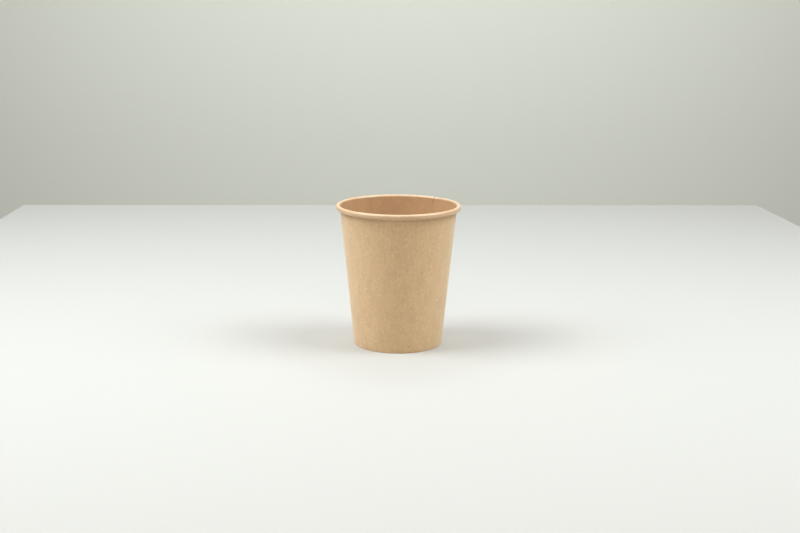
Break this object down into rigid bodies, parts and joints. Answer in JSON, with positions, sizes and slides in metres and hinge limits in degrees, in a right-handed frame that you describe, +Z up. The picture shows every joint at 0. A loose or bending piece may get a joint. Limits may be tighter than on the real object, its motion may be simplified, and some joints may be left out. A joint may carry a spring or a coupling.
{
  "type": "paper cup",
  "caption": "Plain kraft paper cup: tapering sidewall with a lapped side seam, rolled rim and hemmed foot round a recessed base, for holding a drink.",
  "frame": {"origin": "centre of the foot, on the surface that the cup stands on", "axes": "+Z up along the cup's axis, -Y towards the viewer of the picture, +X to the viewer's right"},
  "size_m": [0.08, 0.08, 0.091],
  "materials": {
    "kraft_sidewall": "matte uncoated kraft outside, thin satin sealing film inside",
    "kraft_base": "kraft board with a thin satin sealing film on its upper face"
  },
  "bodies": {
    "root": {"sidewall": "kraft_sidewall", "base_disc": "kraft_base"}
  },
  "joints": []
}
